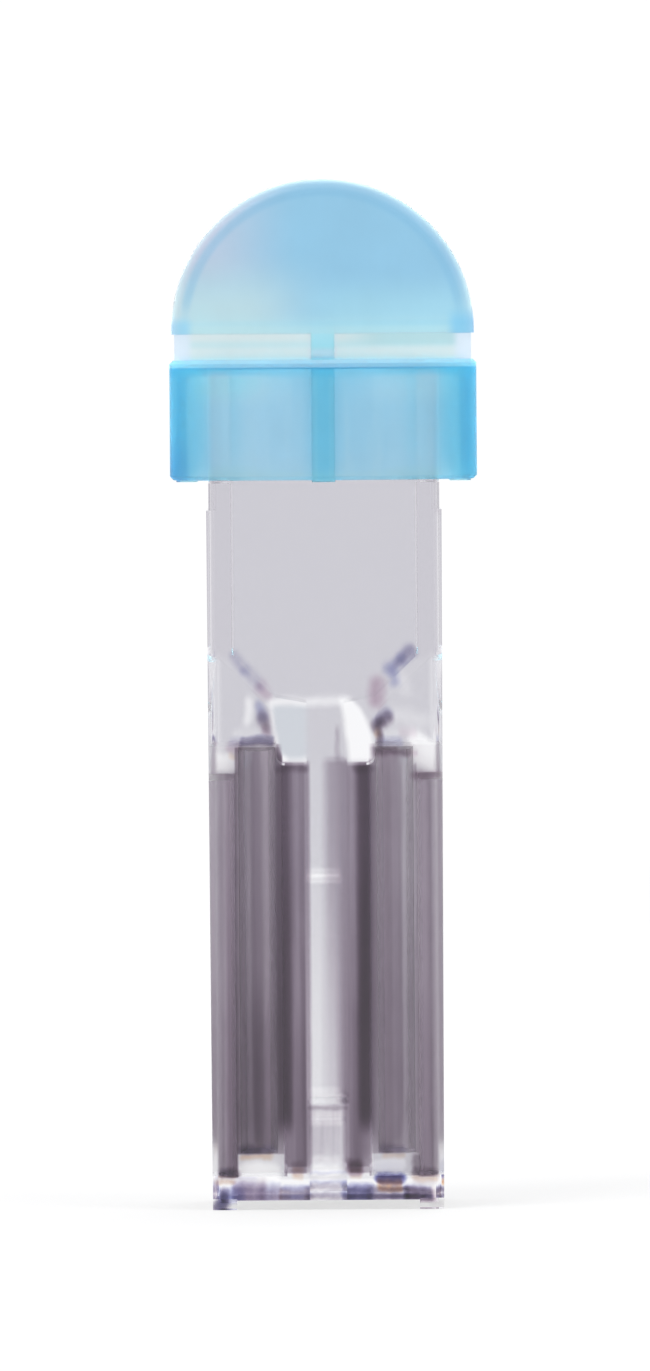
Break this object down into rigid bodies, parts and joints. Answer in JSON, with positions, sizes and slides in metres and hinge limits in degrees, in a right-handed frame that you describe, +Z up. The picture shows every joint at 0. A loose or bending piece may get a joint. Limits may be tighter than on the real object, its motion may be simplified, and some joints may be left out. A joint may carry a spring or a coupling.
{
  "type": "micro cuvette with push-on cap",
  "caption": "Square clear measuring cell with a narrow chamber between two flat windows, a cup and funnel above it, and a round push-on cap with a half-disc grip.",
  "frame": {"origin": "centre of the footprint, on the plane of the four feet", "axes": "+Z up from the feet to the half-disc, +X across the width of the narrow chamber, +Y along the light path from the front window to the back window"},
  "size_m": [0.0166, 0.0166, 0.0553],
  "materials": {
    "cell_plastic": "clear polished moulding with a faint grey cast, smoky beside the chamber",
    "cap_plastic": "light blue translucent soft plastic, satin"
  },
  "bodies": {
    "cell": {"cuvette": "cell_plastic"},
    "lid": {"cap": "cap_plastic"}
  },
  "joints": [
    {"name": "cap_lift", "type": "slide", "parent": "cell", "child": "lid", "axis": [0, 0, 1], "range_m": [0, 0.012]}
  ]
}
